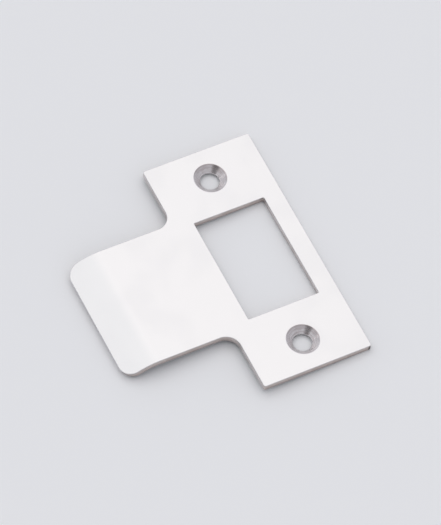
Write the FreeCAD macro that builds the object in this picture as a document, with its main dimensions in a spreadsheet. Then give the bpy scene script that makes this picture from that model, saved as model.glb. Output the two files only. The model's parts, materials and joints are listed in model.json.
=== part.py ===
import FreeCAD, Part
import Sketcher
import math
import os

# Door strike plate: one piece of sheet metal with a latch hole, two countersunk screw holes
# and a T-shaped lip that bends back round the edge of the door frame.
#
# Frame: the back of the face plate lies in the plane z = 0 and its show face looks up, +Z.
# The origin is midway between the two screw holes. The plate's length runs along Y, and the
# lip reaches out along -X.

# Driving dimensions in millimetres and degrees: name, value and what it measures.
SIZES = (
    ("plate_length", 57.0, "face plate, along the door frame"),
    ("plate_width", 25.0, "face plate, across"),
    ("plate_corner_radius", 0.4, "face plate corners, just off sharp"),
    ("sheet_thickness", 1.6, "sheet metal"),
    ("latch_hole_length", 25.5, "latch hole, along the plate"),
    ("latch_hole_width", 16.5, "latch hole, across the plate"),
    ("latch_hole_corner_radius", 0.25, "latch hole corners, left by the punch"),
    ("screw_edge_distance", 7.0, "end of the plate to the middle of a screw hole"),
    ("screw_hole_diameter", 4.2, "clearance for the screw's shank"),
    ("countersink_diameter", 7.1, "countersink, at the show face"),
    ("countersink_angle", 100.0, "countersink, full angle of the cone"),
    ("lip_width", 28.8, "lip, along the plate"),
    ("lip_flat_length", 17.0, "edge of the plate to the start of the bend"),
    ("lip_bend_radius", 9.4, "inside of the bend"),
    ("lip_bend_angle", 24.5, "turn of the bend, towards the back"),
    ("lip_tail_run", 0.4, "end of the bend to the start of the corner radii"),
    ("lip_corner_radius", 3.2, "outer corners of the lip"),
    ("lip_root_radius", 3.25, "fillets where the lip leaves the plate"),
    ("edge_break_radius", 0.1, "edges of the show face, eased by polishing"),
)

MATCH = 1e-4            # points closer than this are the same point
FACING_UP = 0.1         # least upward part of a show face's normal; every wall has less

# The ends of a line or an arc, and its middle point, as a sketch numbers them.
START, END, CENTRE = 1, 2, 3
ORIGIN = (-1, 1)
X_AXIS = -1


def add_sizes(doc):
    """Write the driving dimensions into a sheet, each under its own alias."""
    sheet = doc.addObject("Spreadsheet::Sheet", "sizes")
    for row, (name, value, meaning) in enumerate(SIZES, start=1):
        sheet.set(f"A{row}", meaning)
        sheet.set(f"B{row}", str(value))
        sheet.setAlias(f"B{row}", name)
    doc.recompute()
    return sheet


def add_sketch(body, name, plane):
    """Add an empty sketch on one of the body's own origin planes."""
    sketch = body.newObject("Sketcher::SketchObject", name)
    support = next(item for item in body.Origin.OriginFeatures if item.Role == plane)
    sketch.AttachmentSupport = [(support, "")]
    sketch.MapMode = "FlatFace"
    return sketch


def bind(sketch, name, constraint, expression):
    """Add a named dimension to a sketch and tie it to the sheet."""
    index = sketch.addConstraint(constraint)
    sketch.renameConstraint(index, name)
    sketch.setExpression(f"Constraints.{name}", expression)


def centred_rectangle(sketch, across, along, across_size, along_size):
    """Draw a rectangle about the sketch's origin, with both its sides tied to the sheet."""
    half_across, half_along = across / 2, along / 2
    corners = [
        FreeCAD.Vector(-half_across, -half_along),
        FreeCAD.Vector(half_across, -half_along),
        FreeCAD.Vector(half_across, half_along),
        FreeCAD.Vector(-half_across, half_along),
    ]
    bottom, right, top, left = [
        sketch.addGeometry(Part.LineSegment(corner, corners[(index + 1) % len(corners)]))
        for index, corner in enumerate(corners)
    ]
    loop = (bottom, right, top, left)
    for index, line in enumerate(loop):
        following = loop[(index + 1) % len(loop)]
        sketch.addConstraint(Sketcher.Constraint("Coincident", line, END, following, START))
    for line in (bottom, top):
        sketch.addConstraint(Sketcher.Constraint("Horizontal", line))
    for line in (right, left):
        sketch.addConstraint(Sketcher.Constraint("Vertical", line))
    sketch.addConstraint(Sketcher.Constraint("Symmetric", bottom, START, top, START, *ORIGIN))
    bind(sketch, "across", Sketcher.Constraint("DistanceX", bottom, START, bottom, END, across), across_size)
    bind(sketch, "along", Sketcher.Constraint("DistanceY", right, START, right, END, along), along_size)


def vertical_edges(shape, x, y):
    """Name the edges that stand on the points (+-x, +-y) of the plan."""
    names = []
    for index, edge in enumerate(shape.Edges, start=1):
        first, last = edge.Vertexes[0].Point, edge.Vertexes[-1].Point
        upright = math.hypot(first.x - last.x, first.y - last.y) < MATCH < abs(first.z - last.z)
        if upright and abs(abs(first.x) - x) < MATCH and abs(abs(first.y) - y) < MATCH:
            names.append(f"Edge{index}")
    return names


def lip_end_edges(shape):
    """Name the two edges between the end of the lip and its sides."""
    end = min(shape.Faces, key=lambda face: face.CenterOfMass.x)
    names = []
    for index, edge in enumerate(shape.Edges, start=1):
        on_end = any(edge.isSame(side) for side in end.Edges)
        if on_end and abs(edge.Vertexes[0].Point.y - edge.Vertexes[-1].Point.y) < MATCH:
            names.append(f"Edge{index}")
    return names


def show_face_rims(shape):
    """Name the edges between the show face, bend included, and the walls of the sheet."""
    names = []
    for index, edge in enumerate(shape.Edges, start=1):
        faces = shape.ancestorsOfType(edge, Part.Face)
        looking_up = [face for face in faces if upward_part(face) > FACING_UP]
        if len(faces) == 2 and len(looking_up) == 1:
            names.append(f"Edge{index}")
    return names


def upward_part(face):
    """Give the Z part of a face's normal at the middle of its parameter range."""
    first_u, last_u, first_v, last_v = face.ParameterRange
    return face.normalAt((first_u + last_u) / 2, (first_v + last_v) / 2).z


def add_fillet(body, name, edges, radius, expected=None):
    """Round named edges of the body's newest feature with a radius from the sheet."""
    if not edges or (expected is not None and len(edges) != expected):
        raise RuntimeError(f"{name}: found {len(edges)} edges")
    base = body.Tip
    fillet = body.newObject("PartDesign::Fillet", name)
    fillet.Base = (base, edges)
    fillet.setExpression("Radius", radius)
    body.Document.recompute()


def add_face_plate(body, sheet):
    """Pad the face plate up from its back."""
    outline = add_sketch(body, "face_plate_outline", "XY_Plane")
    centred_rectangle(
        outline, sheet.plate_width, sheet.plate_length, "sizes.plate_width", "sizes.plate_length"
    )
    pad = body.newObject("PartDesign::Pad", "face_plate")
    pad.Profile = outline
    pad.setExpression("Length", "sizes.sheet_thickness")
    body.Document.recompute()


def draw_lip_section(sketch, sheet):
    """Draw the lip seen from the end of the plate: flat run, bend and straight tail."""
    thickness = sheet.sheet_thickness
    turn = math.radians(sheet.lip_bend_angle)
    tail = sheet.lip_tail_run + sheet.lip_corner_radius
    root = -sheet.plate_width / 2
    bend = root - sheet.lip_flat_length
    inner, outer = sheet.lip_bend_radius, sheet.lip_bend_radius + thickness
    middle = FreeCAD.Vector(bend, -inner)
    outwards = FreeCAD.Vector(-math.sin(turn), math.cos(turn))
    downhill = FreeCAD.Vector(-math.cos(turn), -math.sin(turn))

    root_back = FreeCAD.Vector(root, 0)
    root_face = FreeCAD.Vector(root, thickness)
    bend_back = FreeCAD.Vector(bend, 0)
    bend_face = FreeCAD.Vector(bend, thickness)
    tail_back = middle + outwards * inner
    tail_face = middle + outwards * outer
    end_back = tail_back + downhill * tail
    end_face = tail_face + downhill * tail

    upright = FreeCAD.Vector(0, 0, 1)
    quarter = math.pi / 2
    face_circle = Part.Circle(middle, upright, outer)
    back_circle = Part.Circle(middle, upright, inner)

    root_line = sketch.addGeometry(Part.LineSegment(root_back, root_face))
    face_line = sketch.addGeometry(Part.LineSegment(root_face, bend_face))
    face_arc = sketch.addGeometry(Part.ArcOfCircle(face_circle, quarter, quarter + turn))
    face_tail = sketch.addGeometry(Part.LineSegment(tail_face, end_face))
    end_line = sketch.addGeometry(Part.LineSegment(end_face, end_back))
    back_tail = sketch.addGeometry(Part.LineSegment(end_back, tail_back))
    back_arc = sketch.addGeometry(Part.ArcOfCircle(back_circle, quarter, quarter + turn))
    back_line = sketch.addGeometry(Part.LineSegment(bend_back, root_back))

    for first, second in (
        (root_line, face_line),
        (face_tail, end_line),
        (end_line, back_tail),
        (back_line, root_line),
    ):
        sketch.addConstraint(Sketcher.Constraint("Coincident", first, END, second, START))
    for first, first_point, second, second_point in (
        (face_line, END, face_arc, START),
        (face_arc, END, face_tail, START),
        (back_tail, END, back_arc, END),
        (back_arc, START, back_line, START),
    ):
        sketch.addConstraint(Sketcher.Constraint("Tangent", first, first_point, second, second_point))
    sketch.addConstraint(Sketcher.Constraint("Coincident", face_arc, CENTRE, back_arc, CENTRE))
    sketch.addConstraint(Sketcher.Constraint("Vertical", root_line))
    sketch.addConstraint(Sketcher.Constraint("Horizontal", face_line))
    sketch.addConstraint(Sketcher.Constraint("Horizontal", back_line))
    sketch.addConstraint(Sketcher.Constraint("Parallel", face_tail, back_tail))
    sketch.addConstraint(Sketcher.Constraint("Perpendicular", face_tail, end_line))
    sketch.addConstraint(Sketcher.Constraint("PointOnObject", root_line, START, X_AXIS))

    bind(
        sketch, "half_plate_width",
        Sketcher.Constraint("DistanceX", root_line, START, *ORIGIN, -root), "sizes.plate_width / 2",
    )
    bind(
        sketch, "thickness",
        Sketcher.Constraint("DistanceY", root_line, START, root_line, END, thickness),
        "sizes.sheet_thickness",
    )
    bind(
        sketch, "flat_length",
        Sketcher.Constraint("DistanceX", face_line, END, face_line, START, root - bend),
        "sizes.lip_flat_length",
    )
    bind(
        sketch, "bend_radius",
        Sketcher.Constraint("Radius", back_arc, inner), "sizes.lip_bend_radius",
    )
    bind(
        sketch, "bend_angle",
        Sketcher.Constraint("Angle", back_arc, turn), "sizes.lip_bend_angle * 1 deg",
    )
    bind(
        sketch, "tail_length",
        Sketcher.Constraint("Distance", face_tail, START, face_tail, END, tail),
        "sizes.lip_tail_run + sizes.lip_corner_radius",
    )


def add_lip(body, sheet):
    """Pad the lip's bent section to both sides of the plate's middle, then round its corners."""
    section = add_sketch(body, "lip_section", "XZ_Plane")
    draw_lip_section(section, sheet)
    pad = body.newObject("PartDesign::Pad", "lip")
    pad.Profile = section
    pad.SideType = "Symmetric"
    pad.setExpression("Length", "sizes.lip_width")
    body.Document.recompute()

    roots = vertical_edges(body.Shape, sheet.plate_width / 2, sheet.lip_width / 2)
    add_fillet(body, "lip_roots", roots, "sizes.lip_root_radius", expected=2)
    add_fillet(body, "lip_corners", lip_end_edges(body.Shape), "sizes.lip_corner_radius", expected=2)


def add_latch_hole(body, sheet):
    """Punch the latch hole through the middle of the face plate, with its small corner radii."""
    outline = add_sketch(body, "latch_hole_outline", "XY_Plane")
    centred_rectangle(
        outline,
        sheet.latch_hole_width, sheet.latch_hole_length,
        "sizes.latch_hole_width", "sizes.latch_hole_length",
    )
    pocket = body.newObject("PartDesign::Pocket", "latch_hole")
    pocket.Profile = outline
    pocket.Type = "ThroughAll"
    pocket.Reversed = True
    body.Document.recompute()

    corners = vertical_edges(body.Shape, sheet.latch_hole_width / 2, sheet.latch_hole_length / 2)
    add_fillet(body, "latch_hole_corners", corners, "sizes.latch_hole_corner_radius", expected=4)


def add_screw_holes(body, sheet):
    """Drill and countersink the two screw holes from the show face."""
    centres = add_sketch(body, "screw_hole_centres", "XY_Plane")
    centres.setExpression("AttachmentOffset.Base.z", "sizes.sheet_thickness")
    spacing = sheet.plate_length - 2 * sheet.screw_edge_distance
    upright = FreeCAD.Vector(0, 0, 1)
    upper, lower = [
        centres.addGeometry(
            Part.Circle(FreeCAD.Vector(0, side * spacing / 2), upright, sheet.screw_hole_diameter / 2)
        )
        for side in (1, -1)
    ]
    centres.addConstraint(Sketcher.Constraint("Equal", upper, lower))
    centres.addConstraint(Sketcher.Constraint("Vertical", upper, CENTRE, *ORIGIN))
    centres.addConstraint(Sketcher.Constraint("Symmetric", upper, CENTRE, lower, CENTRE, *ORIGIN))
    bind(
        centres, "hole_diameter",
        Sketcher.Constraint("Diameter", upper, sheet.screw_hole_diameter),
        "sizes.screw_hole_diameter",
    )
    bind(
        centres, "spacing",
        Sketcher.Constraint("DistanceY", lower, CENTRE, upper, CENTRE, spacing),
        "sizes.plate_length - 2 * sizes.screw_edge_distance",
    )
    body.Document.recompute()

    hole = body.newObject("PartDesign::Hole", "screw_holes")
    hole.Profile = centres
    hole.ThreadType = "None"
    hole.DepthType = "ThroughAll"
    hole.HoleCutType = "Countersink"
    hole.HoleCutCustomValues = True
    hole.setExpression("Diameter", "sizes.screw_hole_diameter")
    hole.setExpression("HoleCutDiameter", "sizes.countersink_diameter")
    hole.setExpression("HoleCutCountersinkAngle", "sizes.countersink_angle")
    body.Document.recompute()


def build_strike_plate(doc, sheet):
    """Model the whole plate as one body."""
    body = doc.addObject("PartDesign::Body", "strike_plate")
    body.Label = "strike_plate"
    add_face_plate(body, sheet)
    add_lip(body, sheet)
    plate_corners = vertical_edges(body.Shape, sheet.plate_width / 2, sheet.plate_length / 2)
    add_fillet(body, "plate_corners", plate_corners, "sizes.plate_corner_radius", expected=4)
    add_latch_hole(body, sheet)
    add_fillet(body, "eased_edges", show_face_rims(body.Shape), "sizes.edge_break_radius")
    add_screw_holes(body, sheet)
    return body


def check_features(doc):
    """Stop if a feature failed, or if a cut took nothing away."""
    for item in doc.Objects:
        if "Invalid" in item.State or "Error" in item.State:
            raise RuntimeError(f"{item.Label} failed: {item.State}")
    for name in ("latch_hole", "screw_holes"):
        cut = doc.getObject(name)
        if not cut.Shape.Volume < cut.BaseFeature.Shape.Volume - MATCH:
            raise RuntimeError(f"{name} removed nothing")


def write_solid(body):
    """Write a sub-part's solid to its own file, after a look at its soundness."""
    shape = body.Shape
    if shape.isNull() or not shape.isValid() or len(shape.Solids) != 1:
        raise RuntimeError(f"{body.Label} is not one sound solid")
    os.makedirs("parts", exist_ok=True)
    shape.exportStep(f"parts/{body.Label}.step")
    box = shape.optimalBoundingBox()
    extent = " x ".join(f"{length:.2f}" for length in (box.XLength, box.YLength, box.ZLength))
    print(f"{body.Label}: {extent} mm, {shape.Volume:.1f} mm3")


def main():
    """Build the document, check it and write the plate."""
    doc = FreeCAD.newDocument("door_strike_plate")
    sheet = add_sizes(doc)
    plate = build_strike_plate(doc, sheet)
    doc.recompute()
    check_features(doc)
    write_solid(plate)


main()
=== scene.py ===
"""Looks of a polished sheet-metal door strike plate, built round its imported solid.

The plate is modelled the way it is made: a flat blank with punched walls and turned
countersinks is drawn first, and its lip is then folded back. All lengths are in metres.
"""

import json
import logging
import math
from dataclasses import dataclass, field
from enum import Enum
from functools import cached_property, reduce
from typing import Any, Iterable, Optional, Union

import bmesh
import bpy
from bpy.types import Material, Mesh, NodeSocket as Socket, NodeTree, Object
from mathutils import Matrix, Vector

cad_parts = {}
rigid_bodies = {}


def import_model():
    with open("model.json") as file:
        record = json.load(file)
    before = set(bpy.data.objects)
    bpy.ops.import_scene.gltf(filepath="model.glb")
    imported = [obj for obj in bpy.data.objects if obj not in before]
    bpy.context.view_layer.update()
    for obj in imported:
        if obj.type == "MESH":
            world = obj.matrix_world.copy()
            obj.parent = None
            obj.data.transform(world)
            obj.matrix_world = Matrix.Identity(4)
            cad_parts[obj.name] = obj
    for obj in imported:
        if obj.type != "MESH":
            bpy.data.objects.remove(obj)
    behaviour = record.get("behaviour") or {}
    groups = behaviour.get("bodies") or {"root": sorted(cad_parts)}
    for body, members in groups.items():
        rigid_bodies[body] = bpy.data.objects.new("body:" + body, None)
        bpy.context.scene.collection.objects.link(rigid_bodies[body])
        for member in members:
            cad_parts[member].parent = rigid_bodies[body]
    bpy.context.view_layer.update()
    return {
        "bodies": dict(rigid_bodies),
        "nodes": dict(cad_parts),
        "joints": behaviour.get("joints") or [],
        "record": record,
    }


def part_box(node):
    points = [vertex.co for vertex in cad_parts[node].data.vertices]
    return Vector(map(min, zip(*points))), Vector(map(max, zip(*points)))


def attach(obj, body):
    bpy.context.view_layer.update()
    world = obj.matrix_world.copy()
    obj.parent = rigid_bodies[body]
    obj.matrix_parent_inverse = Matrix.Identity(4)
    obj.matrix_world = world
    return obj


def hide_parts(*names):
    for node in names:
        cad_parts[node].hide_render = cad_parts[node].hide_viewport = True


LOG = logging.getLogger("strike_plate")

MM = 0.001
MICRON = 0.001 * MM
# Points nearer to each other than this are the same point.
HAIR = MICRON
NODE = "strike_plate"
BODY = "root"

# The blank's own place of each point, kept through the fold so that a finish follows the sheet.
FLAT = "flat"
# The kind of surface that each face of the blank belongs to.
SURFACE = "surface"

FLOAT = "NodeSocketFloat"
INTEGER = "NodeSocketInt"
VECTOR = "NodeSocketVector"
OBJECT = "NodeSocketObject"
MATERIAL = "NodeSocketMaterial"
SHAPE = {"Geometry": "NodeSocketGeometry"}

# Operations on vectors that give a number.
NUMBER_OPERATIONS = ("DISTANCE", "DOT_PRODUCT", "LENGTH")

Input = Union[Socket, float]
Colour = tuple[float, float, float]
# The values at which a mask starts and is full.
Range = tuple[float, float]
# Masks, each with its height in metres.
Relief = list[tuple[Socket, float]]


class Surface(Enum):
    """The differently finished surfaces of the plate, in the order of its material slots."""

    SHOW_FACE = 0
    WALL = 1
    COUNTERSINK = 2
    BACK = 3


Materials = dict[Surface, Material]


class TreeKind(Enum):
    """What a node tree is for."""

    SHADER = "ShaderNodeTree"
    GEOMETRY = "GeometryNodeTree"


@dataclass
class Wiring:
    """A node tree while its nodes are being placed and linked."""

    tree: NodeTree

    def node(self, kind: str, inputs: Optional[dict[Any, Any]] = None, **settings: Any) -> Any:
        """Add a node.

        Args:
            kind: the node's type name.
            inputs: what its inputs are fed, by identifier, name or number.
            settings: properties of the node, by name.

        Returns:
            The node's outputs.
        """
        made = self.tree.nodes.new(kind)
        for name, value in settings.items():
            setattr(made, name, value)
        by_identifier = {socket.identifier: socket for socket in made.inputs}
        for key, value in (inputs or {}).items():
            self.feed(by_identifier[key] if key in by_identifier else made.inputs[key], value)
        return made.outputs

    def feed(self, socket: Socket, value: Any) -> None:
        """Link a socket to another one, or set it to a plain value.

        Args:
            socket: the input to feed.
            value: an output socket, or what the input itself is to hold.
        """
        if isinstance(value, Socket):
            self.tree.links.new(value, socket)
        else:
            socket.default_value = value

    def math(self, operation: str, *terms: Input, clamp: bool = False) -> Socket:
        """Add a Math node and give its result, which may be held between 0 and 1."""
        terms_in_order = dict(enumerate(terms))
        return self.node("ShaderNodeMath", terms_in_order, operation=operation, use_clamp=clamp)[0]

    def total(self, operation: str, terms: Iterable[Socket]) -> Socket:
        """Run a Math operation through a list of terms, from the first to the last."""
        return reduce(lambda first, second: self.math(operation, first, second), terms)

    def vector(self, operation: str, *terms: Any) -> Socket:
        """Add a Vector Math node and give its result, a number or a vector."""
        made = self.node("ShaderNodeVectorMath", dict(enumerate(terms)), operation=operation)
        return made["Value" if operation in NUMBER_OPERATIONS else "Vector"]

    def parts(self, vector: Socket) -> Any:
        """Split a vector into outputs named X, Y and Z."""
        return self.node("ShaderNodeSeparateXYZ", {"Vector": vector})

    def joined(self, **axes: Input) -> Socket:
        """Make a vector from its X, Y and Z, each 0 where it isn't given."""
        return self.node("ShaderNodeCombineXYZ", axes)["Vector"]

    def remap(
        self, value: Input, low: Input, high: Input, to_low: Input = 0.0, to_high: Input = 1.0
    ) -> Socket:
        """Add a Map Range node with a smooth step.

        Args:
            value: what is mapped.
            low: the value that gives to_low.
            high: the value that gives to_high.
            to_low: the result at one end.
            to_high: the result at the other end.

        Returns:
            The mapped value.
        """
        ends = {"From Min": low, "From Max": high, "To Min": to_low, "To Max": to_high}
        made = self.node("ShaderNodeMapRange", {"Value": value, **ends}, interpolation_type="SMOOTHSTEP")
        return made["Result"]

    def blend(self, share: Input, first: Any, second: Any) -> Socket:
        """Add a colour Mix node.

        Args:
            share: how much of the second colour there is.
            first: a colour, or a socket that gives one.
            second: the other colour, or its socket.

        Returns:
            The mixed colour.
        """
        colours = {
            name: colour if isinstance(colour, Socket) else (*colour, 1.0)
            for name, colour in (("A_Color", first), ("B_Color", second))
        }
        outputs = self.node("ShaderNodeMix", {"Factor_Float": share, **colours}, data_type="RGBA")
        return next(socket for socket in outputs if socket.identifier == "Result_Color")

    def group(self, tree: NodeTree, values: dict[str, Any]) -> Any:
        """Place a node group with values for its inputs, and give its outputs."""
        return self.node("ShaderNodeGroup", values, node_tree=tree)

    def noise(self, place: Socket, detail: float, scale: float = 1.0, roughness: float = 0.5) -> Socket:
        """Add a Noise Texture.

        Args:
            place: the coordinates that it reads.
            detail: octaves of finer noise.
            scale: waves to the unit of those coordinates.
            roughness: share of each finer octave.

        Returns:
            The noise, about 0.5 in the middle.
        """
        values = {"Vector": place, "Scale": scale, "Detail": detail, "Roughness": roughness}
        return self.node("ShaderNodeTexNoise", values, noise_dimensions="3D")[0]

    def dressed(self, geometry: Socket, material: Socket) -> Socket:
        """Realize a geometry's instances and give it a material."""
        real = self.node("GeometryNodeRealizeInstances", {"Geometry": geometry})["Geometry"]
        return self.node("GeometryNodeSetMaterial", {"Geometry": real, "Material": material})["Geometry"]


def new_tree(
    kind: TreeKind, name: str, inputs: dict[str, str], outputs: dict[str, str]
) -> tuple[Wiring, Any, Any]:
    """Start a node tree with named sockets.

    Args:
        kind: what the tree is for.
        name: its name.
        inputs: socket types by input name.
        outputs: socket types by output name.

    Returns:
        The wiring, the sockets that the tree is given and those that its results go into.
    """
    tree = bpy.data.node_groups.new(name, kind.value)
    if kind is TreeKind.GEOMETRY:
        tree.is_modifier = True
    for side, sockets in (("INPUT", inputs), ("OUTPUT", outputs)):
        for socket, socket_type in sockets.items():
            tree.interface.new_socket(socket, in_out=side, socket_type=socket_type)
    wiring = Wiring(tree)
    return wiring, wiring.node("NodeGroupInput"), tree.nodes.new("NodeGroupOutput").inputs


@dataclass(frozen=True)
class Corner:
    """A corner of an outline, rounded with a tangent arc."""

    x: float
    y: float
    radius: float

    @property
    def point(self) -> Vector:
        """The sharp corner itself."""
        return Vector((self.x, self.y, 0.0))


def rounded_outline(corners: list[Corner], step: float) -> list[Vector]:
    """Trace a closed outline of straight runs and tangent arcs.

    Args:
        corners: the corners in order.
        step: the largest turn between neighbouring points of an arc, in radians.

    Returns:
        The points of the outline, in the same order.
    """
    points = []
    for index, corner in enumerate(corners):
        before = corners[index - 1].point
        after = corners[(index + 1) % len(corners)].point
        to_before = (before - corner.point).normalized()
        to_after = (after - corner.point).normalized()
        half = to_before.angle(to_after) / 2
        middle = corner.point + (to_before + to_after).normalized() * (corner.radius / math.sin(half))
        start = corner.point + to_before * (corner.radius / math.tan(half))
        turn = math.pi - 2 * half
        left = to_before.cross(to_after).z < 0
        count = max(1, math.ceil(turn / step))
        spoke = start - middle
        for index_on_arc in range(count + 1):
            angle = turn * index_on_arc / count
            points.append(middle + Matrix.Rotation(angle if left else -angle, 3, "Z") @ spoke)
    return points


def roll_over(radius: float, turns: Iterable[float]) -> list[tuple[float, float]]:
    """Give how far into the sheet and how deep a rounded edge lies, at given turns down from the face."""
    return [(radius * (1 - math.sin(turn)), radius * (1 - math.cos(turn))) for turn in turns]


def placed(name: str, data: Any) -> Object:
    """Link a new object to the scene, at the origin.

    Args:
        name: the object's name.
        data: its mesh, curve or camera.

    Returns:
        The new object.
    """
    made = bpy.data.objects.new(name, data)
    bpy.context.scene.collection.objects.link(made)
    return made


def curve_object(name: str, points: Iterable[Iterable[float]], closed: bool) -> Object:
    """Make a curve through given points, for a node tree to read.

    Args:
        name: the object's name.
        points: the places of its points.
        closed: whether the last point joins the first.

    Returns:
        The curve, linked to the scene.
    """
    curve = bpy.data.curves.new(name, "CURVE")
    curve.dimensions = "3D"
    curve.twist_mode = "Z_UP"
    places = [Vector(point).to_3d() for point in points]
    spline = curve.splines.new("POLY")
    spline.points.add(len(places) - 1)
    for point, place in zip(spline.points, places):
        point.co = (*place, 1.0)
    spline.use_cyclic_u = closed
    return placed(name, curve)


def grown(carrier: Object, tree: NodeTree, values: dict[str, Any]) -> Mesh:
    """Run a geometry node tree on an object and keep only the resulting mesh.

    Args:
        carrier: the object whose geometry goes into the tree. It is removed afterwards.
        tree: the node tree.
        values: the tree's inputs, by name.

    Returns:
        The plain mesh that comes out.
    """
    modifier = carrier.modifiers.new(tree.name, "NODES")
    modifier.node_group = tree
    sockets = {
        item.name: item.identifier
        for item in tree.interface.items_tree
        if item.item_type == "SOCKET" and item.in_out == "INPUT"
    }
    for name, value in values.items():
        modifier[sockets[name]] = value
    carrier.update_tag()
    bpy.context.view_layer.update()
    evaluated = carrier.evaluated_get(bpy.context.evaluated_depsgraph_get())
    mesh = bpy.data.meshes.new_from_object(evaluated)
    carrier.modifiers.remove(modifier)
    bpy.data.objects.remove(carrier)
    return mesh


def swept_wall_tree() -> NodeTree:
    """Build the tree that draws a wall's section along the object's own outline.

    Returns:
        The tree, with the section and the material as inputs.
    """
    inputs = {**SHAPE, "Section": OBJECT, "Material": MATERIAL}
    wiring, given, result = new_tree(TreeKind.GEOMETRY, "swept_wall", inputs, SHAPE)
    section = wiring.node("GeometryNodeObjectInfo", {"Object": given["Section"]})["Geometry"]
    curves = {"Curve": given["Geometry"], "Profile Curve": section}
    wall = wiring.node("GeometryNodeCurveToMesh", curves)["Mesh"]
    wiring.feed(result["Geometry"], wiring.dressed(wall, given["Material"]))
    return wiring.tree


def turned_holes_tree() -> NodeTree:
    """Build the tree that turns one hole's section about its axis and repeats it along a line.

    Returns:
        The tree, with the section, the holes' places and the material as inputs.
    """
    inputs = {
        **SHAPE,
        "Section": OBJECT,
        "Rim Radius": FLOAT,
        "Sides": INTEGER,
        "Count": INTEGER,
        "First": VECTOR,
        "Spacing": VECTOR,
        "Material": MATERIAL,
    }
    wiring, given, result = new_tree(TreeKind.GEOMETRY, "turned_holes", inputs, SHAPE)
    section = wiring.node("GeometryNodeObjectInfo", {"Object": given["Section"]})["Geometry"]
    circle = {"Resolution": given["Sides"], "Radius": given["Rim Radius"]}
    rim = wiring.node("GeometryNodeCurvePrimitiveCircle", circle, mode="RADIUS")["Curve"]
    hole = wiring.node("GeometryNodeCurveToMesh", {"Curve": rim, "Profile Curve": section})["Mesh"]
    line = {"Count": given["Count"], "Start Location": given["First"], "Offset": given["Spacing"]}
    row = wiring.node("GeometryNodeMeshLine", line, mode="OFFSET")["Mesh"]
    holes = wiring.node("GeometryNodeInstanceOnPoints", {"Points": row, "Instance": hole})["Instances"]
    wiring.feed(result["Geometry"], wiring.dressed(holes, given["Material"]))
    return wiring.tree


def folded_lip_tree() -> NodeTree:
    """Build the tree that folds the flat blank's lip back round a cylinder.

    Points before the bend stay where they are. In the bend, the run along the sheet becomes an
    angle. Past it, the tail runs on straight.

    Returns:
        The tree, with the bend's sizes and one material for each surface as inputs.
    """
    inputs = {
        **SHAPE,
        **dict.fromkeys(("Bend Start", "Bend Run", "Inside Radius", "Bend Angle"), FLOAT),
        **{surface.name: MATERIAL for surface in Surface},
    }
    wiring, given, result = new_tree(TreeKind.GEOMETRY, "folded_lip", inputs, SHAPE)
    place = wiring.node("GeometryNodeInputPosition")["Position"]
    kept = wiring.node(
        "GeometryNodeStoreNamedAttribute",
        {"Geometry": given["Geometry"], "Name": FLAT, "Value": place},
        data_type="FLOAT_VECTOR",
        domain="POINT",
    )["Geometry"]

    axes = wiring.parts(place)
    run = wiring.math("SUBTRACT", given["Bend Start"], axes["X"])
    before = wiring.math("MINIMUM", run, 0.0)
    share = wiring.math("DIVIDE", run, given["Bend Run"], clamp=True)
    turn = wiring.math("MULTIPLY", share, given["Bend Angle"])
    tail = wiring.math("MAXIMUM", wiring.math("SUBTRACT", run, given["Bend Run"]), 0.0)
    radius = wiring.math("ADD", given["Inside Radius"], axes["Z"])
    sine = wiring.math("SINE", turn)
    cosine = wiring.math("COSINE", turn)
    out = wiring.math("ADD", before, wiring.math("MULTIPLY", radius, sine))
    out = wiring.math("ADD", out, wiring.math("MULTIPLY", tail, cosine))
    drop = wiring.math("SUBTRACT", given["Inside Radius"], wiring.math("MULTIPLY", radius, cosine))
    drop = wiring.math("ADD", drop, wiring.math("MULTIPLY", tail, sine))
    folded = wiring.joined(
        X=wiring.math("SUBTRACT", given["Bend Start"], out),
        Y=axes["Y"],
        Z=wiring.math("MULTIPLY", drop, -1.0),
    )
    moved = wiring.node("GeometryNodeSetPosition", {"Geometry": kept, "Position": folded})["Geometry"]

    geometry = wiring.node("GeometryNodeRealizeInstances", {"Geometry": moved})["Geometry"]
    kind = wiring.node("GeometryNodeInputNamedAttribute", {"Name": SURFACE}, data_type="INT")["Attribute"]
    for surface in Surface:
        compared = {"A_INT": kind, "B_INT": surface.value}
        chosen = wiring.node("FunctionNodeCompare", compared, data_type="INT", operation="EQUAL")["Result"]
        dress = {"Geometry": geometry, "Selection": chosen, "Material": given[surface.name]}
        geometry = wiring.node("GeometryNodeSetMaterial", dress)["Geometry"]
    wiring.feed(result["Geometry"], geometry)
    return wiring.tree


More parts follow.
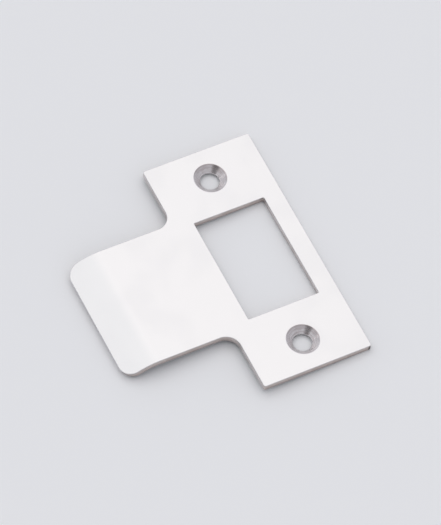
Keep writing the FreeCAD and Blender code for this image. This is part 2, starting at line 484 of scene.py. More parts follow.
@dataclass
class SharedEffects:
    """Marks that several finishes share, each one a node group that is built once."""

    thickness: float
    smudge_range: Range = (0.42, 0.68)
    # For each layer of scratches: its turn, and how many times finer than long its cells are.
    scratch_layers: tuple[tuple[float, float], ...] = (
        (math.radians(20.0), 26.0),
        (math.radians(-55.0), 34.0),
        (math.radians(80.0), 22.0),
    )
    scratch_width: float = 0.012
    scratch_bow: float = 0.1
    bow_waves: float = 1.5
    patch_waves: float = 0.35
    patch_range: Range = (0.56, 0.66)
    # The brighter edge band, partly wear and partly a painted highlight: its patchiness, where it starts
    # and its least reach.
    worn_and_highlight_waves: float = 700.0
    worn_and_highlight_start: float = 0.02 * MM
    worn_and_highlight_least: float = 0.5
    blotch_range: Range = (0.35, 0.7)
    speck_waves: float = 9.0
    speck_range: Range = (0.5, 0.75)
    speck_share: float = 0.4

    @cached_property
    def lines(self) -> NodeTree:
        """Build the fine lines that rolling and polishing leave along the sheet.

        Returns:
            A group that gives the lines' height, from 0 to 1.
        """
        inputs = {"Flat": VECTOR, "Pitch": FLOAT, "Reach": FLOAT}
        wiring, given, result = new_tree(TreeKind.SHADER, "sheet_lines", inputs, {"Height": FLOAT})
        step = wiring.joined(X=given["Pitch"], Y=given["Reach"], Z=given["Reach"])
        place = wiring.vector("DIVIDE", given["Flat"], step)
        wiring.feed(result["Height"], wiring.noise(place, detail=3.0, roughness=0.6))
        return wiring.tree

    @cached_property
    def marks(self) -> NodeTree:
        """Build the marks of handling: soft smudges and a few hair scratches.

        Returns:
            A group that gives a mask for the smudges and one for the scratches.
        """
        inputs = {"Flat": VECTOR, "Smudge Size": FLOAT, "Scratch Length": FLOAT}
        outputs = {"Smudge": FLOAT, "Scratch": FLOAT}
        wiring, given, result = new_tree(TreeKind.SHADER, "handling_marks", inputs, outputs)
        broad = wiring.vector("DIVIDE", given["Flat"], given["Smudge Size"])
        smudge = wiring.remap(wiring.noise(broad, detail=2.5), *self.smudge_range)
        wiring.feed(result["Smudge"], smudge)

        long = wiring.vector("DIVIDE", given["Flat"], given["Scratch Length"])
        sway = wiring.noise(long, detail=0.0, scale=self.bow_waves)
        bow = wiring.vector("MULTIPLY", sway, (self.scratch_bow, self.scratch_bow, 0.0))
        bent = wiring.vector("ADD", long, bow)
        layers = []
        for turn, squeeze in self.scratch_layers:
            mapping = {"Vector": bent, "Rotation": (0.0, 0.0, turn), "Scale": (squeeze, 1.0, 1.0)}
            turned = wiring.node("ShaderNodeMapping", mapping)["Vector"]
            cells = wiring.node("ShaderNodeTexVoronoi", {"Vector": turned}, feature="DISTANCE_TO_EDGE")
            hair = wiring.remap(cells["Distance"], 0.0, self.scratch_width, 1.0, 0.0)
            patches = wiring.noise(turned, detail=1.0, scale=self.patch_waves)
            kept = wiring.remap(patches, *self.patch_range)
            layers.append(wiring.math("MULTIPLY", hair, kept))
        wiring.feed(result["Scratch"], wiring.total("MAXIMUM", layers))
        return wiring.tree

    @cached_property
    def worn_and_highlight(self) -> NodeTree:
        """Build the brighter band along the eased edges of the show face: partly wear, partly a painted
        highlight.

        Returns:
            A group that gives a mask, 1 at the eased edge and 0 deeper down.
        """
        inputs = {"Flat": VECTOR, "Reach": FLOAT}
        wiring, given, result = new_tree(TreeKind.SHADER, "worn_and_highlight_edge", inputs, {"Mask": FLOAT})
        depth = wiring.math("SUBTRACT", self.thickness, wiring.parts(given["Flat"])["Z"])
        patches = wiring.noise(given["Flat"], detail=3.0, scale=self.worn_and_highlight_waves)
        reach = wiring.math("MULTIPLY", given["Reach"], wiring.math("ADD", patches, self.worn_and_highlight_least))
        fade = wiring.remap(depth, 0.0, reach, 1.0, 0.0)
        edge = wiring.remap(depth, 0.0, self.worn_and_highlight_start)
        wiring.feed(result["Mask"], wiring.math("MULTIPLY", fade, edge))
        return wiring.tree

    @cached_property
    def tarnish(self) -> NodeTree:
        """Build the uneven brownish film that bare steel takes on where it isn't polished.

        Returns:
            A group that gives a mask of soft blotches with fine specks in them.
        """
        inputs = {"Flat": VECTOR, "Size": FLOAT}
        wiring, given, result = new_tree(TreeKind.SHADER, "tarnish", inputs, {"Mask": FLOAT})
        place = wiring.vector("DIVIDE", given["Flat"], given["Size"])
        clouds = wiring.noise(place, detail=3.0, roughness=0.6)
        blotch = wiring.remap(clouds, *self.blotch_range)
        grains = wiring.noise(place, detail=2.0, scale=self.speck_waves)
        speck = wiring.remap(grains, *self.speck_range)
        specks = wiring.math("MULTIPLY", speck, self.speck_share)
        wiring.feed(result["Mask"], wiring.math("ADD", blotch, specks, clamp=True))
        return wiring.tree


@dataclass(frozen=True)
class SteelFinish:
    """A bare steel surface: what all the plate's finishes have in common."""

    name: str
    colour: Colour
    roughness: float

    def start(self) -> tuple[Material, Wiring, Socket]:
        """Start the finish's material.

        Returns:
            The material, its wiring and the place of a point on the flat blank.
        """
        made = bpy.data.materials.new(self.name)
        made.use_nodes = True
        wiring = Wiring(made.node_tree)
        flat = wiring.node("ShaderNodeAttribute", attribute_type="GEOMETRY", attribute_name=FLAT)
        return made, wiring, flat["Vector"]

    @staticmethod
    def coat(wiring: Wiring, relief: Relief, looks: dict[str, Any]) -> None:
        """Feed the material's shader, and bump its normal with real heights.

        Args:
            wiring: the material's wiring.
            relief: the heights, which are added up.
            looks: what the shader's other inputs are fed, by name.
        """
        height = wiring.total("ADD", [wiring.math("MULTIPLY", mask, size) for mask, size in relief])
        bump = wiring.node("ShaderNodeBump", {"Strength": 1.0, "Distance": 1.0, "Height": height})
        shader = wiring.tree.nodes["Principled BSDF"]
        for name, value in {"Metallic": 1.0, "Normal": bump["Normal"], **looks}.items():
            wiring.feed(shader.inputs[name], value)


@dataclass(frozen=True)
class SheetFinish(SteelFinish):
    """A flat side of the sheet: fine lines along it, and marks of handling."""

    line_pitch: float
    line_reach: float
    line_height: float
    line_gloss: float
    smudge_size: float
    scratch_length: float
    scratch_depth: float

    def worked(self, wiring: Wiring, effects: SharedEffects, place: Socket) -> tuple[Any, Socket, Relief]:
        """Place the lines and the marks.

        Args:
            wiring: the material's wiring.
            effects: the shared node groups.
            place: the place of a point on the flat blank.

        Returns:
            The marks' masks, the roughness with the lines in it, and the heights of lines and scratches.
        """
        line_sizes = {"Pitch": self.line_pitch, "Reach": self.line_reach}
        lines = wiring.group(effects.lines, {"Flat": place, **line_sizes})["Height"]
        mark_sizes = {"Smudge Size": self.smudge_size, "Scratch Length": self.scratch_length}
        marks = wiring.group(effects.marks, {"Flat": place, **mark_sizes})
        smoothest = self.roughness - self.line_gloss / 2
        gloss = wiring.math("MULTIPLY_ADD", lines, self.line_gloss, smoothest)
        return marks, gloss, [(lines, self.line_height), (marks["Scratch"], -self.scratch_depth)]


@dataclass(frozen=True)
class PolishedFace(SheetFinish):
    """The show face: a soft polish along the plate, faint smudges, hair scratches, and eased edges painted
    brighter, partly as wear and partly as a painted highlight.
    """

    name: str = "polished_face"
    colour: Colour = (0.705, 0.694, 0.701)
    roughness: float = 0.17
    line_pitch: float = 0.07 * MM
    line_reach: float = 6.0 * MM
    line_height: float = 0.12 * MICRON
    line_gloss: float = 0.06
    smudge_size: float = 11.0 * MM
    scratch_length: float = 9.0 * MM
    scratch_depth: float = 0.7 * MICRON
    smudged_colour: Colour = (0.697, 0.687, 0.696)
    smudge_gloss: float = 0.05
    # Partly wear, partly a painted highlight: the colour of the eased edge.
    worn_and_highlight_colour: Colour = (0.735, 0.723, 0.728)
    worn_and_highlight_reach: float = 0.25 * MM
    wave_size: float = 15.0 * MM
    wave_height: float = 6.0 * MICRON

    def material(self, effects: SharedEffects) -> Material:
        """Make the finish's material.

        Args:
            effects: the shared node groups.

        Returns:
            The new material.
        """
        made, wiring, place = self.start()
        marks, gloss, relief = self.worked(wiring, effects, place)
        worn_and_highlight = wiring.group(effects.worn_and_highlight, {"Flat": place, "Reach": self.worn_and_highlight_reach})["Mask"]
        colour = wiring.blend(marks["Smudge"], self.colour, self.smudged_colour)
        # Partly wear, partly a painted highlight: the eased edge is lighter.
        colour = wiring.blend(worn_and_highlight, colour, self.worn_and_highlight_colour)
        for mask in (marks["Smudge"], marks["Scratch"]):
            gloss = wiring.math("MULTIPLY_ADD", mask, self.smudge_gloss, gloss)
        wave = wiring.noise(place, detail=1.0, scale=1 / self.wave_size)
        relief.append((wave, self.wave_height))
        self.coat(wiring, relief, {"Base Color": colour, "Roughness": gloss})
        return made


@dataclass(frozen=True)
class PunchedWall(SteelFinish):
    """A punched wall: burnished by the punch at the top, torn and duller below, with painted light on
    walls that face along X, a painted shade spot at the near right corner, and a lighter band along the
    top edge that is partly wear and partly a painted highlight.
    """

    name: str = "punched_wall"
    colour: Colour = (0.680, 0.607, 0.580)
    # Painted light: a lighter, more neutral copy of the burnished colour, for walls that face along X.
    x_facing_painted_light_colour: Colour = (0.735, 0.700, 0.700)
    roughness: float = 0.27
    torn_colour: Colour = (0.575, 0.505, 0.478)
    # Painted light: a lighter, more neutral copy of the torn colour, for walls that face along X.
    x_facing_torn_painted_light_colour: Colour = (0.690, 0.655, 0.655)
    torn_roughness: float = 0.45
    tarnished_colour: Colour = (0.47, 0.405, 0.37)
    # Partly wear, partly a painted highlight: the colour of the wall's top edge.
    worn_and_highlight_colour: Colour = (0.72, 0.69, 0.675)
    burnish_depth: float = 1.0 * MM
    burnish_waver: float = 0.5 * MM
    waver_run: float = 3.0 * MM
    tear_blur: float = 0.06 * MM
    score_pitch: float = 0.08 * MM
    score_drop: float = 2.5 * MM
    score_height: float = 1.4 * MICRON
    score_gloss: float = 0.1
    torn_grain: float = 0.10 * MM
    torn_height: float = 7.0 * MICRON
    tarnish_size: float = 2.6 * MM
    tarnish_share: float = 0.45
    worn_and_highlight_reach: float = 0.3 * MM
    # Painted shade: a dark spot on the wall round the near right corner, standing in for the dark
    # reflection and contact shade there.
    painted_corner_shade_place: tuple[float, float] = (12.4 * MM, -28.4 * MM)
    painted_corner_shade_reach: float = 0.75 * MM
    painted_corner_shade_colour: Colour = (0.12, 0.095, 0.088)

    def material(self, effects: SharedEffects) -> Material:
        """Make the finish's material.

        Args:
            effects: the shared node groups.

        Returns:
            The new material.
        """
        made, wiring, place = self.start()
        depth = wiring.math("SUBTRACT", effects.thickness, wiring.parts(place)["Z"])
        along = wiring.vector("MULTIPLY", place, (1 / self.waver_run, 1 / self.waver_run, 0.0))
        waver = wiring.math("SUBTRACT", wiring.noise(along, detail=3.0, roughness=0.6), 0.5)
        line = wiring.math("MULTIPLY_ADD", waver, self.burnish_waver, self.burnish_depth)
        below = wiring.math("SUBTRACT", depth, line)
        torn = wiring.remap(below, -self.tear_blur, self.tear_blur)

        tarnish = wiring.group(effects.tarnish, {"Flat": place, "Size": self.tarnish_size})["Mask"]
        worn_and_highlight = wiring.group(effects.worn_and_highlight, {"Flat": place, "Reach": self.worn_and_highlight_reach})["Mask"]
        # Painted light: walls that face along X take the lighter copies, walls that face along Y the plain
        # colours.
        facing = wiring.parts(wiring.node("ShaderNodeNewGeometry")["Normal"])
        across = wiring.math("ABSOLUTE", facing["Y"])
        burnished = wiring.blend(across, self.x_facing_painted_light_colour, self.colour)
        ragged = wiring.blend(across, self.x_facing_torn_painted_light_colour, self.torn_colour)
        colour = wiring.blend(torn, burnished, ragged)
        film = wiring.math("MULTIPLY", tarnish, self.tarnish_share)
        colour = wiring.blend(film, colour, self.tarnished_colour)
        # Partly wear, partly a painted highlight: the top of the wall is lighter along its eased edge.
        colour = wiring.blend(worn_and_highlight, colour, self.worn_and_highlight_colour)
        # Paint the dark spot at the near right corner: painted shade.
        plan = wiring.vector("MULTIPLY", place, (1.0, 1.0, 0.0))
        to_painted_corner_shade = wiring.vector("DISTANCE", plan, (*self.painted_corner_shade_place, 0.0))
        painted_corner_shade = wiring.remap(to_painted_corner_shade, self.painted_corner_shade_reach / 2, self.painted_corner_shade_reach, 1.0, 0.0)
        colour = wiring.blend(painted_corner_shade, colour, self.painted_corner_shade_colour)

        scores = (1 / self.score_pitch, 1 / self.score_pitch, 1 / self.score_drop)
        score = wiring.noise(wiring.vector("MULTIPLY", place, scores), detail=2.0)
        rough = wiring.remap(torn, 0.0, 1.0, self.roughness, self.torn_roughness)
        gloss = wiring.math("MULTIPLY_ADD", score, self.score_gloss, rough)
        grain = wiring.noise(place, detail=3.0, scale=1 / self.torn_grain, roughness=0.65)
        torn_relief = wiring.math("MULTIPLY", grain, torn)
        relief = [(score, self.score_height), (torn_relief, self.torn_height)]
        self.coat(wiring, relief, {"Base Color": colour, "Roughness": gloss})
        return made


@dataclass(frozen=True)
class TurnedCone(SteelFinish):
    """A countersink: fine rings left by the cutter, a few flats where it chattered, and a dull tarnish
    film that lies only on the part of each cone that faces the camera, as painted shade.
    """

    name: str = "turned_cone"
    colour: Colour = (0.900, 0.872, 0.882)
    roughness: float = 0.24
    cone_radius: float = field(kw_only=True)
    screw_spacing: float = field(kw_only=True)
    spread: float = 0.75
    # Colour of the tarnish film, which is also the painted shade on the part of each cone that faces the
    # camera.
    tarnish_and_painted_shade_colour: Colour = (0.535, 0.480, 0.480)
    rim_reach: float = 0.75 * MM
    film_share: float = 0.38
    # Painted shade: the side of each hole, away from the camera, whose cone faces the camera and is
    # darkened, then where that darkening starts and is full.
    painted_shade_side: tuple[float, float, float] = (0.5, 0.866, 0.0)
    painted_shade_range: Range = (-0.6, 0.7)
    ring_pitch: float = 0.28 * MM
    ring_range: Range = (0.35, 0.65)
    ring_height: float = 2.2 * MICRON
    ring_gloss: float = 0.06
    flats: float = 2.2
    flat_height: float = 20.0 * MICRON
    tarnish_size: float = 1.6 * MM

    def material(self, effects: SharedEffects) -> Material:
        """Make the finish's material.

        Args:
            effects: the shared node groups.

        Returns:
            The new material.
        """
        made, wiring, place = self.start()
        axes = wiring.parts(place)
        end = wiring.math("SIGN", axes["Y"])
        hole_y = wiring.math("MULTIPLY", end, self.screw_spacing / 2)
        spoke = wiring.joined(X=axes["X"], Y=wiring.math("SUBTRACT", axes["Y"], hole_y))
        radius = wiring.vector("LENGTH", spoke)
        compass = wiring.vector("NORMALIZE", spoke)
        ring_place = wiring.joined(X=wiring.math("DIVIDE", radius, self.ring_pitch), Y=end)
        rings = wiring.remap(wiring.noise(ring_place, detail=1.0), *self.ring_range)
        chatter = wiring.noise(compass, detail=1.5, scale=self.flats)

        tarnish = wiring.group(effects.tarnish, {"Flat": place, "Size": self.tarnish_size})["Mask"]
        worn = wiring.remap(radius, self.cone_radius - self.rim_reach, self.cone_radius)
        film = wiring.total("ADD", (tarnish, rings, worn))
        film = wiring.math("MULTIPLY_ADD", film, self.film_share, self.film_share)
        # Painted shade: the film is kept to the part of each cone that faces the camera, darkening it.
        side = wiring.vector("DOT_PRODUCT", compass, self.painted_shade_side)
        painted_shade_share = wiring.remap(side, *self.painted_shade_range)
        dull = wiring.math("MULTIPLY", film, painted_shade_share, clamp=True)
        looks = {
            "Base Color": wiring.blend(dull, self.colour, self.tarnish_and_painted_shade_colour),
            "Roughness": wiring.math("MULTIPLY_ADD", rings, self.ring_gloss, self.roughness),
            "Anisotropic": self.spread,
            "Tangent": compass,
        }
        relief = [(rings, self.ring_height), (chatter, self.flat_height)]
        self.coat(wiring, relief, looks)
        return made


@dataclass(frozen=True)
class RolledBack(SheetFinish):
    """The back: left as the sheet came from the mill, dull, with rolling lines and a thin tarnish."""

    name: str = "rolled_back"
    colour: Colour = (0.58, 0.570, 0.560)
    roughness: float = 0.36
    line_pitch: float = 0.16 * MM
    line_reach: float = 14.0 * MM
    line_height: float = 0.8 * MICRON
    line_gloss: float = 0.14
    smudge_size: float = 8.0 * MM
    scratch_length: float = 13.0 * MM
    scratch_depth: float = 1.5 * MICRON
    tarnished_colour: Colour = (0.47, 0.45, 0.435)
    tarnish_size: float = 7.0 * MM
    tarnish_share: float = 0.5
    film_gloss: float = 0.1

    def material(self, effects: SharedEffects) -> Material:
        """Make the finish's material.

        Args:
            effects: the shared node groups.

        Returns:
            The new material.
        """
        made, wiring, place = self.start()
        marks, gloss, relief = self.worked(wiring, effects, place)
        tarnish = wiring.group(effects.tarnish, {"Flat": place, "Size": self.tarnish_size})["Mask"]
        stained = wiring.math("MAXIMUM", tarnish, marks["Smudge"])
        film = wiring.math("MULTIPLY", stained, self.tarnish_share)
        colour = wiring.blend(film, self.colour, self.tarnished_colour)
        gloss = wiring.math("MULTIPLY_ADD", film, self.film_gloss, gloss)
        self.coat(wiring, relief, {"Base Color": colour, "Roughness": gloss})
        return made


@dataclass
class StrikePlate:
    """The plate, drawn as a flat blank and folded at its lip."""

    length: float
    width: float
    thickness: float
    screw_spacing: float
    screw_radius: float
    screw_count: int
    corner_radius: float = 0.4 * MM
    latch_length: float = 25.5 * MM
    latch_width: float = 16.5 * MM
    latch_corner_radius: float = 0.25 * MM
    countersink_radius: float = 3.55 * MM
    countersink_angle: float = math.radians(100.0)
    lip_width: float = 28.8 * MM
    lip_flat: float = 17.0 * MM
    bend_radius: float = 9.4 * MM
    bend_angle: float = math.radians(24.5)
    tail_run: float = 0.4 * MM
    lip_corner_radius: float = 3.2 * MM
    lip_root_radius: float = 3.25 * MM
    edge_radius: float = 0.1 * MM
    rim_radius: float = 0.05 * MM
    rim_turns: tuple[float, ...] = (0.0, math.radians(15.0), math.radians(30.0))
    # Rings of points down a countersink, as shares of its depth.
    cone_rings: tuple[float, ...] = (0.06, 0.15, 1.0)
    burr_break: float = 0.05 * MM
    break_taper: float = 0.03 * MM
    burnish_share: float = 0.55
    # Rings of points that hold the show face's shading flat up to its rounded edges.
    outer_support: float = 0.1 * MM
    inner_support: float = 0.025 * MM
    arc_step: float = math.radians(6.0)
    edge_steps: int = 6
    hole_sides: int = 144
    bend_steps: int = 26
    sharp_angle: float = math.radians(32.0)

    @classmethod
    def from_frame(cls, frame: dict[str, Any]) -> "StrikePlate":
        """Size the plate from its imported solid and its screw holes.


        Returns:
            The plate.
        """
        low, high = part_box(NODE)
        holes = next(mount for mount in frame["record"]["mounts"] if mount["name"] == "screw_holes")
        return cls(
            length=high.y - low.y,
            width=2 * high.x,
            thickness=high.z,
            screw_spacing=holes["dims"]["spacing_y_mm"] * MM,
            screw_radius=holes["dims"]["hole_r_mm"] * MM,
            screw_count=holes["dims"]["count"],
        )

    @property
    def bend_start(self) -> float:
        """Where along X the lip begins to bend."""
        return -self.width / 2 - self.lip_flat

    @property
    def bend_run(self) -> float:
        """Length of the bend along the middle of the sheet."""
        return (self.bend_radius + self.thickness / 2) * self.bend_angle

    @property
    def blank_end(self) -> float:
        """Where along X the lip of the flat blank ends."""
        return self.bend_start - self.bend_run - self.tail_run - self.lip_corner_radius

    def at_show_face(self, corners: list[Corner]) -> list[Vector]:
        """Trace an outline at the height of the show face."""
        lift = Vector((0, 0, self.thickness))
        return [point + lift for point in rounded_outline(corners, self.arc_step)]

    def blank_outline(self) -> list[Vector]:
        """Trace the flat blank anticlockwise.

        Returns:
            The points of its outline.
        """
        right, top, lip = self.width / 2, self.length / 2, self.lip_width / 2
        corners = [
            Corner(right, -top, self.corner_radius),
            Corner(right, top, self.corner_radius),
            Corner(-right, top, self.corner_radius),
            Corner(-right, lip, self.lip_root_radius),
            Corner(self.blank_end, lip, self.lip_corner_radius),
            Corner(self.blank_end, -lip, self.lip_corner_radius),
            Corner(-right, -lip, self.lip_root_radius),
            Corner(-right, -top, self.corner_radius),
        ]
        return self.at_show_face(corners)

    def latch_outline(self) -> list[Vector]:
        """Trace the latch hole clockwise, so that its walls face into the hole.

        Returns:
            The points of its outline.
        """
        across, along = self.latch_width / 2, self.latch_length / 2
        corners = [
            Corner(x, y, self.latch_corner_radius)
            for x, y in ((-across, -along), (-across, along), (across, along), (across, -along))
        ]
        return self.at_show_face(corners)

    def wall_section(self) -> list[tuple[float, float]]:
        """Draw the section of a punched wall.

        It starts on the show face, rolls over the eased edge, runs down the burnished part and
        then draws in where the sheet broke away.

        Returns:
            Pairs of how far out of the sheet and how deep each point lies.
        """
        turns = [math.pi / 2 * index / self.edge_steps for index in range(self.edge_steps + 1)]
        return [
            (-self.edge_radius - self.outer_support, 0.0),
            (-self.edge_radius - self.inner_support, 0.0),
            *((-inset, depth) for inset, depth in roll_over(self.edge_radius, turns)),
            (0.0, self.thickness * self.burnish_share),
            (-self.break_taper, self.thickness - self.burr_break),
            (-self.break_taper - self.burr_break, self.thickness),
        ]

    def hole_section(self) -> list[tuple[float, float]]:
        """Draw the section of a countersunk hole, from the show face to the back.

        Returns:
            Pairs of how far outside the rim and how deep each point lies.
        """
        reach = self.countersink_radius - self.screw_radius
        cone_depth = reach / math.tan(self.countersink_angle / 2)
        return [
            (self.outer_support, 0.0),
            (self.rim_radius + self.inner_support, 0.0),
            *roll_over(self.rim_radius, self.rim_turns),
            *((-reach * share, cone_depth * share) for share in self.cone_rings),
            (-reach, self.thickness - self.burr_break),
            (-reach + self.burr_break, self.thickness),
        ]

    def walls(self, materials: Materials) -> list[Mesh]:
        """Draw the outer wall, the latch hole's wall and the screw holes.

        Args:
            materials: the material of each surface.

        Returns:
            Their meshes, open at the show face and at the back.
        """
        wall_section = curve_object("wall_section", self.wall_section(), closed=False)
        hole_section = curve_object("hole_section", self.hole_section(), closed=False)
        outlines = {"blank_outline": self.blank_outline(), "latch_outline": self.latch_outline()}
        sweep = swept_wall_tree()
        wall_values = {"Section": wall_section, "Material": materials[Surface.WALL]}
        meshes = [
            grown(curve_object(name, outline, closed=True), sweep, wall_values)
            for name, outline in outlines.items()
        ]
        hole_values = {
            "Section": hole_section,
            "Rim Radius": self.countersink_radius,
            "Sides": self.hole_sides,
            "Count": self.screw_count,
            "First": (0.0, -self.screw_spacing / 2, self.thickness),
            "Spacing": (0.0, self.screw_spacing, 0.0),
            "Material": materials[Surface.COUNTERSINK],
        }
        seed = placed("hole_seed", bpy.data.meshes.new("hole_seed"))
        meshes.append(grown(seed, turned_holes_tree(), hole_values))
        for section in (wall_section, hole_section):
            bpy.data.objects.remove(section)
        return meshes

    def blank(self, materials: Materials) -> Mesh:
        """Close the walls with the show face and the back, and cut the lip across for its bend.

        Args:
            materials: the material of each surface.

        Returns:
            The flat blank as one closed mesh.
        """
        plan = bmesh.new()
        for mesh in self.walls(materials):
            plan.from_mesh(mesh)
            bpy.data.meshes.remove(mesh)
        bmesh.ops.remove_doubles(plan, verts=plan.verts, dist=HAIR)
        open_edges = [edge for edge in plan.edges if edge.is_boundary]
        rims = [
            [edge for edge in open_edges if all(abs(vertex.co.z - height) < HAIR for vertex in edge.verts)]
            for height in (self.thickness, 0.0)
        ]
        for edges in rims:
            bmesh.ops.triangle_fill(plan, edges=edges, use_beauty=True, use_dissolve=False)
        bmesh.ops.recalc_face_normals(plan, faces=plan.faces)

        margin = self.outer_support / self.bend_run
        steps = [index / self.bend_steps for index in range(self.bend_steps + 1)]
        for share in (-margin, *steps, 1 + margin):
            everything = [*plan.verts, *plan.edges, *plan.faces]
            station = Vector((self.bend_start - share * self.bend_run, 0, 0))
            bmesh.ops.bisect_plane(plan, geom=everything, plane_co=station, plane_no=(1, 0, 0))

        kind = plan.faces.layers.int.new(SURFACE)
        for face in plan.faces:
            face[kind] = self.surface_of(face).value
            face.smooth = True
        for edge in plan.edges:
            edge.smooth = edge.is_manifold and edge.calc_face_angle() < self.sharp_angle
        mesh = bpy.data.meshes.new("blank")
        plan.to_mesh(mesh)
        plan.free()
        return mesh

    def surface_of(self, face: bmesh.types.BMFace) -> Surface:
        """Tell which surface a face of the flat blank belongs to.

        Args:
            face: the face.

        Returns:
            The kind of surface.
        """
        middle = face.calc_center_median()
        depth = self.thickness - middle.z
        if depth > self.thickness - HAIR:
            return Surface.BACK
        if depth < HAIR:
            return Surface.SHOW_FACE
        to_hole = math.hypot(middle.x, abs(middle.y) - self.screw_spacing / 2)
        if to_hole < self.countersink_radius + self.outer_support:
            return Surface.COUNTERSINK
        return Surface.SHOW_FACE if depth < self.edge_radius else Surface.WALL

    def build(self, materials: Materials) -> Object:
        """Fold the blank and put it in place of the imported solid.

        Args:
            materials: the material of each surface.

        Returns:
            The finished plate.
        """
        values = {
            "Bend Start": self.bend_start,
            "Bend Run": self.bend_run,
            "Inside Radius": self.bend_radius,
            "Bend Angle": self.bend_angle,
            **{surface.name: materials[surface] for surface in Surface},
        }
        mesh = grown(placed("blank", self.blank(materials)), folded_lip_tree(), values)
        mesh.name = "polished_plate"
        plate = placed("polished_plate", mesh)
        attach(plate, BODY)
        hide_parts(NODE)
        return plate


@dataclass(frozen=True)
class ViewPoint:
    """Where the photograph was taken from, and with which lens."""

    azimuth: float = math.radians(-35.532)
    elevation: float = math.radians(57.798)
    roll: float = math.radians(10.466)
    distance: float = 0.97186
    aim: tuple[float, float] = (-7.433 * MM, 1.919 * MM)
    lens_mm: float = 319.64
    sensor_mm: float = 36.0
    nearest: float = 0.01
    furthest: float = 20.0

    def place_camera(self, height: float) -> None:
        """Make the scene's camera.

        Args:
            height: the height of the show face, which the camera is aimed at.
        """
        data = bpy.data.cameras.new("view")
        data.sensor_width = self.sensor_mm
        data.lens = self.lens_mm
        data.clip_start = self.nearest
        data.clip_end = self.furthest
        made = placed("view", data)
        level = math.cos(self.elevation)
        back = Vector(
            (math.sin(self.azimuth) * level, -math.cos(self.azimuth) * level, math.sin(self.elevation))
        )
        upright = (-back).to_track_quat("-Z", "Y").to_matrix().to_4x4()
        place = Matrix.Translation(Vector((*self.aim, height)) + back * self.distance)
        made.matrix_world = place @ upright @ Matrix.Rotation(self.roll, 4, "Z")
        bpy.context.scene.camera = made


@dataclass(frozen=True)
class Slope:
    """How a soft box fades along one axis: leans at which it starts, is full, begins to fade and ends.

    A lean is how far a direction runs along the axis for each unit that it rises.
    """

    start: float
    full: float
    fade: float
    end: float

    def share(self, wiring: Wiring, lean: Socket) -> Socket:
        """Add nodes that give how much of the box's light there is at a lean."""
        rising = wiring.remap(lean, self.start, self.full)
        return wiring.math("MULTIPLY", rising, wiring.remap(lean, self.fade, self.end, 1.0, 0.0))


@dataclass(frozen=True)
class Spot:
    """A soft round patch of the room that is darker or brighter than the rest."""

    towards: tuple[float, float, float]
    light: Colour
    core: float
    rim: float

    def over(self, wiring: Wiring, ahead: Socket, rest: Socket) -> Socket:
        """Lay the patch over the rest of the room.

        Args:
            wiring: the world's wiring.
            ahead: the direction that is looked in.
            rest: the light of the rest of the room.

        Returns:
            The light with the patch in it.
        """
        middle = tuple(Vector(self.towards).normalized())
        nearness = wiring.vector("DOT_PRODUCT", ahead, middle)
        share = wiring.remap(nearness, math.cos(self.rim), math.cos(self.core))
        return wiring.blend(share, rest, self.light)


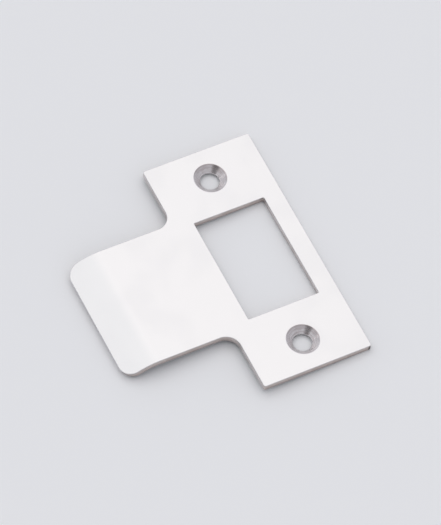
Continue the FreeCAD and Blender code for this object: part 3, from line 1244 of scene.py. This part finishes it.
@dataclass(frozen=True)
class Sky:
    """A light tent: a pale, slightly cool room with a broad soft box overhead, leaning to the far side."""

    room: Colour = (0.628, 0.643, 0.680)
    box: Colour = (1.340, 1.330, 1.330)
    box_left: Colour = (1.225, 1.235, 1.245)
    across: Slope = Slope(-1.25, -0.70, 0.28, 1.05)
    along: Slope = Slope(-0.60, 0.00, 0.95, 1.55)
    left_from: float = 0.32
    left_to: float = -0.15
    lowest_rise: float = 0.02
    spots: tuple[Spot, ...] = (
        Spot((-0.58, -0.36, 0.72), (0.16, 0.16, 0.17), math.radians(7.0), math.radians(24.0)),
        Spot((-0.80, -0.47, 0.33), (0.20, 0.20, 0.21), math.radians(7.0), math.radians(22.0)),
        Spot((-0.79, 0.55, 0.18), (2.60, 2.62, 2.65), math.radians(2.0), math.radians(8.5)),
    )

    def hang(self) -> None:
        """Make the scene's world."""
        world = bpy.data.worlds.new("light_tent")
        bpy.context.scene.world = world
        world.use_nodes = True
        wiring = Wiring(world.node_tree)
        ahead = wiring.node("ShaderNodeTexCoord")["Generated"]
        axes = wiring.parts(ahead)
        rise = wiring.math("MAXIMUM", axes["Z"], self.lowest_rise)
        across = self.across.share(wiring, wiring.math("DIVIDE", axes["X"], rise))
        along = self.along.share(wiring, wiring.math("DIVIDE", axes["Y"], rise))
        left = wiring.remap(axes["X"], self.left_to, self.left_from, 1.0, 0.0)
        box = wiring.blend(left, self.box, self.box_left)
        light = wiring.blend(wiring.math("MULTIPLY", across, along), self.room, box)
        for spot in self.spots:
            light = spot.over(wiring, ahead, light)
        wiring.feed(world.node_tree.nodes["Background"].inputs["Color"], light)


@dataclass(frozen=True)
class Floor:
    """A wide plain sheet of pale paper."""

    colour: Colour = (0.901, 0.899, 0.914)
    reach: float = 3.0
    clear: float = 0.02 * MM
    roughness: float = 0.9

    def lay(self, plate: Object) -> None:
        """Lay the floor under the two edges that the plate rests on.

        Args:
            plate: the finished plate.
        """
        places = [vertex.co for vertex in plate.data.vertices]
        lip_end = min(places, key=lambda place: place.z)
        right = max(place.x for place in places)
        slope = -lip_end.z / (right - lip_end.x)
        square = ((-1, -1), (1, -1), (1, 1), (-1, 1))
        corners = [
            (x * self.reach, y * self.reach, (x * self.reach - right) * slope - self.clear)
            for x, y in square
        ]
        mesh = bpy.data.meshes.new("floor")
        mesh.from_pydata(corners, [], [tuple(range(len(corners)))])
        material = bpy.data.materials.new("pale_paper")
        material.use_nodes = True
        shader = material.node_tree.nodes["Principled BSDF"]
        shader.inputs["Base Color"].default_value = (*self.colour, 1.0)
        shader.inputs["Roughness"].default_value = self.roughness
        shader.inputs["Specular IOR Level"].default_value = 0.0
        mesh.materials.append(material)
        placed("floor", mesh)


def main() -> None:
    """Build the plate, then the studio round it."""
    logging.basicConfig(level=logging.INFO)
    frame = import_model()
    bpy.context.scene.view_settings.view_transform = "Standard"

    plate = StrikePlate.from_frame(frame)
    effects = SharedEffects(plate.thickness)
    cone = TurnedCone(cone_radius=plate.countersink_radius, screw_spacing=plate.screw_spacing)
    finishes = {
        Surface.SHOW_FACE: PolishedFace(),
        Surface.WALL: PunchedWall(),
        Surface.COUNTERSINK: cone,
        Surface.BACK: RolledBack(),
    }
    materials = {surface: finish.material(effects) for surface, finish in finishes.items()}
    shown = plate.build(materials)
    LOG.info("%s: %d faces", shown.name, len(shown.data.polygons))

    Floor().lay(shown)
    Sky().hang()
    ViewPoint().place_camera(plate.thickness)
    LOG.info("floor, light and camera are in place")


if __name__ == "__main__":
    main()
